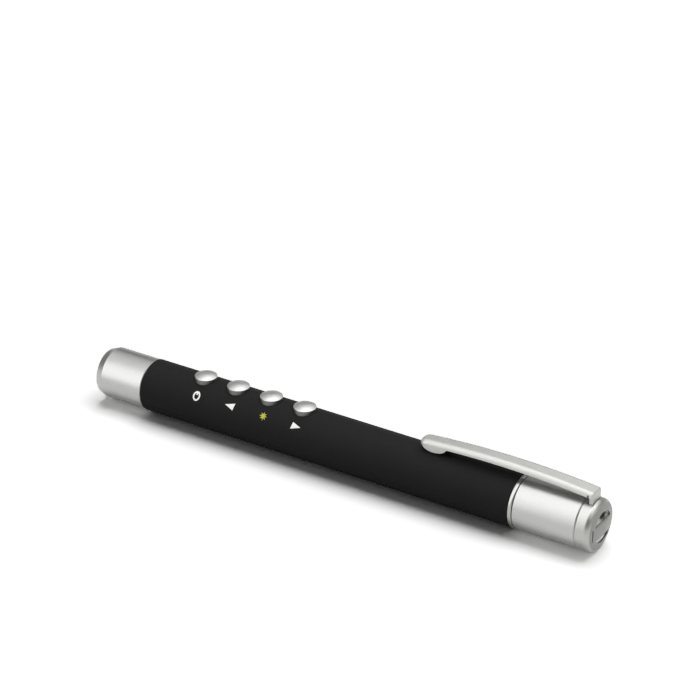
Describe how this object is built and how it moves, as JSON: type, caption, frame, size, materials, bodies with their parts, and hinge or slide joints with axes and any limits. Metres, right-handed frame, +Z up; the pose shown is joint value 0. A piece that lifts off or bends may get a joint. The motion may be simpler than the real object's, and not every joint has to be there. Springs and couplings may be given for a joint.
{
  "type": "wireless presentation clicker",
  "caption": "Pen-style wireless presentation clicker: laser nose, domed push buttons along the tube, screw-off tail over the cell, sprung pocket clip.",
  "frame": {"origin": "under the middle of the pen's length, on the line that the tube lies on", "axes": "+X along the pen from the laser nose to the tail, +Y across the pen to its plain side, +Z up through the buttons and the clip"},
  "size_m": [0.1586, 0.015, 0.0193],
  "materials": {
    "tube_black": "satin soft-touch paint over moulded ABS",
    "nose_silver": "bead-blasted and clear anodised",
    "collar_bright": "turned and polished",
    "tail_silver": "bead-blasted and clear anodised",
    "cap_silver": "bead-blasted and clear anodised",
    "clip_silver": "satin plated",
    "button_silver": "satin plated",
    "window_black": "black anodised",
    "window_clear": "polished acrylic",
    "holder_plastic": "moulded",
    "laser_brass": "turned",
    "lens_clear": "moulded acrylic",
    "spring_wire": "drawn wire",
    "diode_gold": "gold flash",
    "board_green": "solder mask",
    "lead_red": "PVC insulation",
    "lead_black": "PVC insulation",
    "tray_grey": "moulded",
    "screw_steel": "zinc plated",
    "chip_black": "moulded epoxy",
    "ferrite_grey": "sintered",
    "crystal_steel": "plated lid",
    "ceramic_white": "fired ceramic",
    "ceramic_tan": "fired ceramic",
    "switch_black": "moulded",
    "plunger_white": "moulded",
    "dome_steel": "stamped",
    "contact_nickel": "nickel plated",
    "strip_brass": "stamped",
    "liner_plastic": "moulded",
    "cell_jacket": "printed foil sleeve",
    "cell_nickel": "nickel plated",
    "o_ring_rubber": "moulded nitrile"
  },
  "bodies": {
    "presenter": {"barrel": "tube_black", "nose_cap": "nose_silver", "window_ring": "window_black", "laser_window": "window_clear", "laser_holder": "holder_plastic", "laser_barrel": "laser_brass", "lens_ring": "laser_brass", "collimating_lens": "lens_clear", "lens_spring": "spring_wire", "laser_diode": "diode_gold", "laser_driver_board": "board_green", "laser_lead_positive": "lead_red", "laser_lead_negative": "lead_black", "chassis_tray": "tray_grey", "main_board": "board_green", "board_screws": "screw_steel", "radio_chip": "chip_black", "controller_chip": "chip_black", "boost_inductor": "ferrite_grey", "crystal_can": "crystal_steel", "chip_antenna": "ceramic_white", "board_capacitors": "ceramic_tan", "switch_domes": "dome_steel", "battery_cell": "cell_jacket", "battery_positive_cap": "cell_nickel", "front_contact": "contact_nickel", "contact_carrier": "liner_plastic", "battery_tube": "liner_plastic", "ground_strip": "strip_brass", "threaded_collar": "collar_bright", "collar_o_ring": "o_ring_rubber", "spring_seat": "contact_nickel", "blank_screen_switch_housing": "switch_black", "back_switch_housing": "switch_black", "laser_switch_housing": "switch_black", "forward_switch_housing": "switch_black"},
    "tail_contact": {"tail_spring": "spring_wire"},
    "tail": {"tail_sleeve": "tail_silver", "tail_cap": "cap_silver", "clip_pin": "screw_steel", "contact_plate": "contact_nickel"},
    "clip": {"pocket_clip": "clip_silver"},
    "blank_screen_key": {"blank_screen_button": "button_silver", "blank_screen_plunger": "plunger_white"},
    "back_key": {"back_button": "button_silver", "back_plunger": "plunger_white"},
    "laser_key": {"laser_button": "button_silver", "laser_plunger": "plunger_white"},
    "forward_key": {"forward_button": "button_silver", "forward_plunger": "plunger_white"}
  },
  "joints": [
    {"name": "blank_screen_press", "type": "slide", "parent": "presenter", "child": "blank_screen_key", "axis": [0, 0, -1], "range_m": [0, 0.0004], "stiffness_N_per_m": 800, "springref_m": -0.0006},
    {"name": "back_press", "type": "slide", "parent": "presenter", "child": "back_key", "axis": [0, 0, -1], "range_m": [0, 0.0004], "stiffness_N_per_m": 800, "springref_m": -0.0006},
    {"name": "laser_press", "type": "slide", "parent": "presenter", "child": "laser_key", "axis": [0, 0, -1], "range_m": [0, 0.0004], "stiffness_N_per_m": 800, "springref_m": -0.0006},
    {"name": "forward_press", "type": "slide", "parent": "presenter", "child": "forward_key", "axis": [0, 0, -1], "range_m": [0, 0.0004], "stiffness_N_per_m": 800, "springref_m": -0.0006},
    {"name": "tail_travel", "type": "slide", "parent": "presenter", "child": "tail_contact", "axis": [1, 0, 0], "range_m": [0, 0.005], "deforming": ["tail_spring"]},
    {"name": "tail_turn", "type": "hinge", "parent": "tail_contact", "child": "tail", "pos_m": [0.07427, 0, 0.0075], "axis": [1, 0, 0], "range_deg": [0, 1800.5]},
    {"name": "clip_flex", "type": "hinge", "parent": "tail", "child": "clip", "pos_m": [0.07633, 0, 0.0139], "axis": [0, 1, 0], "range_deg": [0, 3.5], "stiffness_Nm_per_rad": 1, "springref_deg": -2.86}
  ],
  "couplings": [
    {"joint": "tail_turn", "follows": "tail_travel", "rad_per_m": 6283.2}
  ]
}
